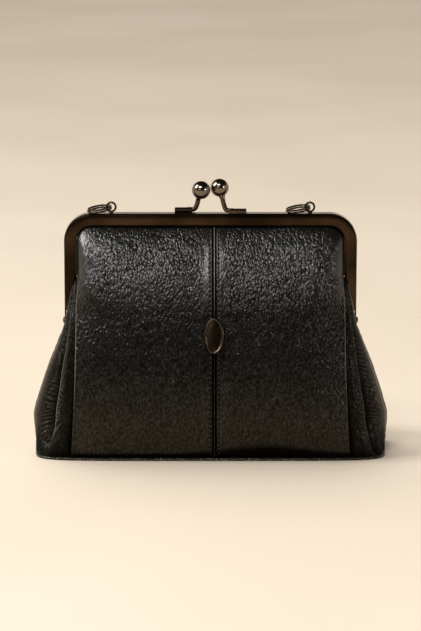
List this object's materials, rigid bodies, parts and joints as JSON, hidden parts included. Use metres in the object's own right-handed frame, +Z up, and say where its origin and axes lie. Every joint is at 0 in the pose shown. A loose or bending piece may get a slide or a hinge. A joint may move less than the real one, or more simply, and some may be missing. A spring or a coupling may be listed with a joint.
{
  "type": "shoulder bag with a kiss-lock frame",
  "caption": "Black pebbled leather bag with a hinged metal kiss-lock frame, folded side gussets, a flat base, and split rings on eyelets that take a shoulder strap.",
  "frame": {"origin": "middle of the underside of the base", "axes": "+X to the right as seen from the front, +Y to the back, +Z up"},
  "size_m": [0.2478, 0.0944, 0.1905],
  "materials": {
    "leather": "black pebbled leather with a semi-gloss surface, a little browner low down",
    "frame_metal": "polished antique gunmetal with a brown cast",
    "clasp_metal": "bright polished gunmetal",
    "ring_metal": "polished gunmetal",
    "ornament_metal": "polished antique gunmetal"
  },
  "bodies": {
    "bag": {"front_panel_left": "leather", "front_panel_right": "leather", "back_panel_left": "leather", "back_panel_right": "leather", "gusset_left": "leather", "gusset_right": "leather", "base_panel": "leather", "front_frame": "frame_metal", "back_frame": "frame_metal", "hinge_rivet_left": "frame_metal", "hinge_rivet_right": "frame_metal", "front_clasp": "clasp_metal", "back_clasp": "clasp_metal", "eyelet_left": "ring_metal", "eyelet_right": "ring_metal", "ornament_plate": "ornament_metal"},
    "ring_left": {"split_ring_left": "ring_metal"},
    "ring_right": {"split_ring_right": "ring_metal"}
  },
  "joints": [
    {"name": "split_ring_left_swing", "type": "hinge", "parent": "bag", "child": "ring_left", "pos_m": [-0.069, -0.0029, 0.1715], "axis": [0, 1, 0], "range_deg": [0, 160]},
    {"name": "split_ring_right_swing", "type": "hinge", "parent": "bag", "child": "ring_right", "pos_m": [0.069, -0.0029, 0.1715], "axis": [0, 1, 0], "range_deg": [0, 160]}
  ]
}
